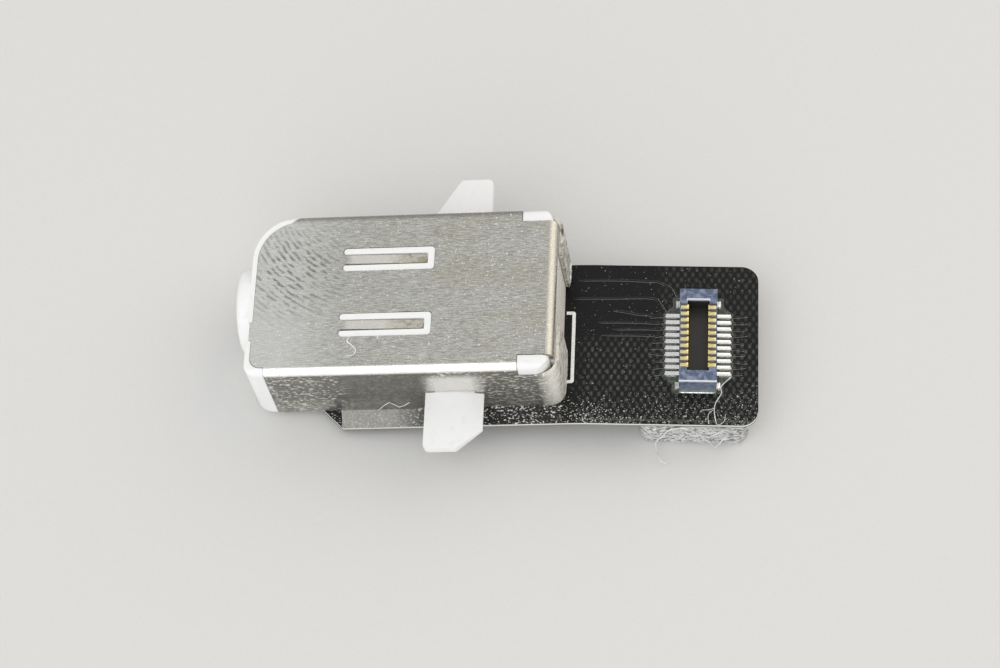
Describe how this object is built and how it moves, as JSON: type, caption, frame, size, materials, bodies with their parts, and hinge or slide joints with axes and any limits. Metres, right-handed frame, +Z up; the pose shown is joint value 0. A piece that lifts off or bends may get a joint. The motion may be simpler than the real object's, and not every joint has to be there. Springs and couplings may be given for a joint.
{
  "type": "audio jack socket",
  "caption": "Round-mouthed audio jack socket in a folded steel shield can with white side ears, on a black flexible circuit whose tail carries a board connector over a foam pad.",
  "frame": {"origin": "on the jack's axis at the flange face, where the collar starts", "axes": "+X the way the plug goes in and towards the tail, +Z up through the top plate, -Y towards the side on which the film stands out"},
  "size_m": [0.0285, 0.0169, 0.0078],
  "materials": {
    "white_plastic": "moulded satin white",
    "shield_steel": "satin rolled sheet, scuffed",
    "spring_bronze": "gold-plated phosphor bronze strip",
    "black_film": "glossy black cover film",
    "black_plate": "matt black laminate",
    "grey_pad": "fibrous grey foam",
    "connector_plastic": "moulded dark blue",
    "tinned_metal": "tinned",
    "contact_gold": "gold-plated"
  },
  "bodies": {
    "socket": {"housing": "white_plastic", "shield_can": "shield_steel", "flex_circuit": "black_film", "socket_plate": "black_plate", "tail_plate": "black_plate", "foam_pad": "grey_pad", "connector_body": "connector_plastic", "hold_down_far": "tinned_metal", "hold_down_near": "tinned_metal", "board_contact_a1": "contact_gold", "board_contact_a2": "contact_gold", "board_contact_a3": "contact_gold", "board_contact_a4": "contact_gold", "board_contact_a5": "contact_gold", "board_contact_a6": "contact_gold", "board_contact_a7": "contact_gold", "board_contact_a8": "contact_gold", "board_contact_a9": "contact_gold", "board_contact_a10": "contact_gold", "board_contact_b1": "contact_gold", "board_contact_b2": "contact_gold", "board_contact_b3": "contact_gold", "board_contact_b4": "contact_gold", "board_contact_b5": "contact_gold", "board_contact_b6": "contact_gold", "board_contact_b7": "contact_gold", "board_contact_b8": "contact_gold", "board_contact_b9": "contact_gold", "board_contact_b10": "contact_gold"},
    "sleeve_arm": {"sleeve_contact": "spring_bronze"},
    "second_ring_arm": {"second_ring_contact": "spring_bronze"},
    "first_ring_arm": {"first_ring_contact": "spring_bronze"},
    "tip_arm": {"tip_contact": "spring_bronze"},
    "detect_arm": {"detect_contact": "spring_bronze"}
  },
  "joints": [
    {"name": "sleeve_flex", "type": "hinge", "parent": "socket", "child": "sleeve_arm", "pos_m": [0.0054, -0.0029, 0], "axis": [0, 0, 1], "range_deg": [0, 6.2], "stiffness_Nm_per_rad": 0.02},
    {"name": "second_ring_flex", "type": "hinge", "parent": "socket", "child": "second_ring_arm", "pos_m": [0.0077, 0.0029, 0], "axis": [0, 0, -1], "range_deg": [0, 6.2], "stiffness_Nm_per_rad": 0.02},
    {"name": "first_ring_flex", "type": "hinge", "parent": "socket", "child": "first_ring_arm", "pos_m": [0.01, -0.0029, 0], "axis": [0, 0, 1], "range_deg": [0, 6.2], "stiffness_Nm_per_rad": 0.02},
    {"name": "tip_flex", "type": "hinge", "parent": "socket", "child": "tip_arm", "pos_m": [0.014, 0.0029, 0], "axis": [0, 0, -1], "range_deg": [0, 6.2], "stiffness_Nm_per_rad": 0.02},
    {"name": "detect_flex", "type": "hinge", "parent": "socket", "child": "detect_arm", "pos_m": [0.0144, -0.0029, 0], "axis": [0, 0, 1], "range_deg": [0, 6.2], "stiffness_Nm_per_rad": 0.02}
  ]
}
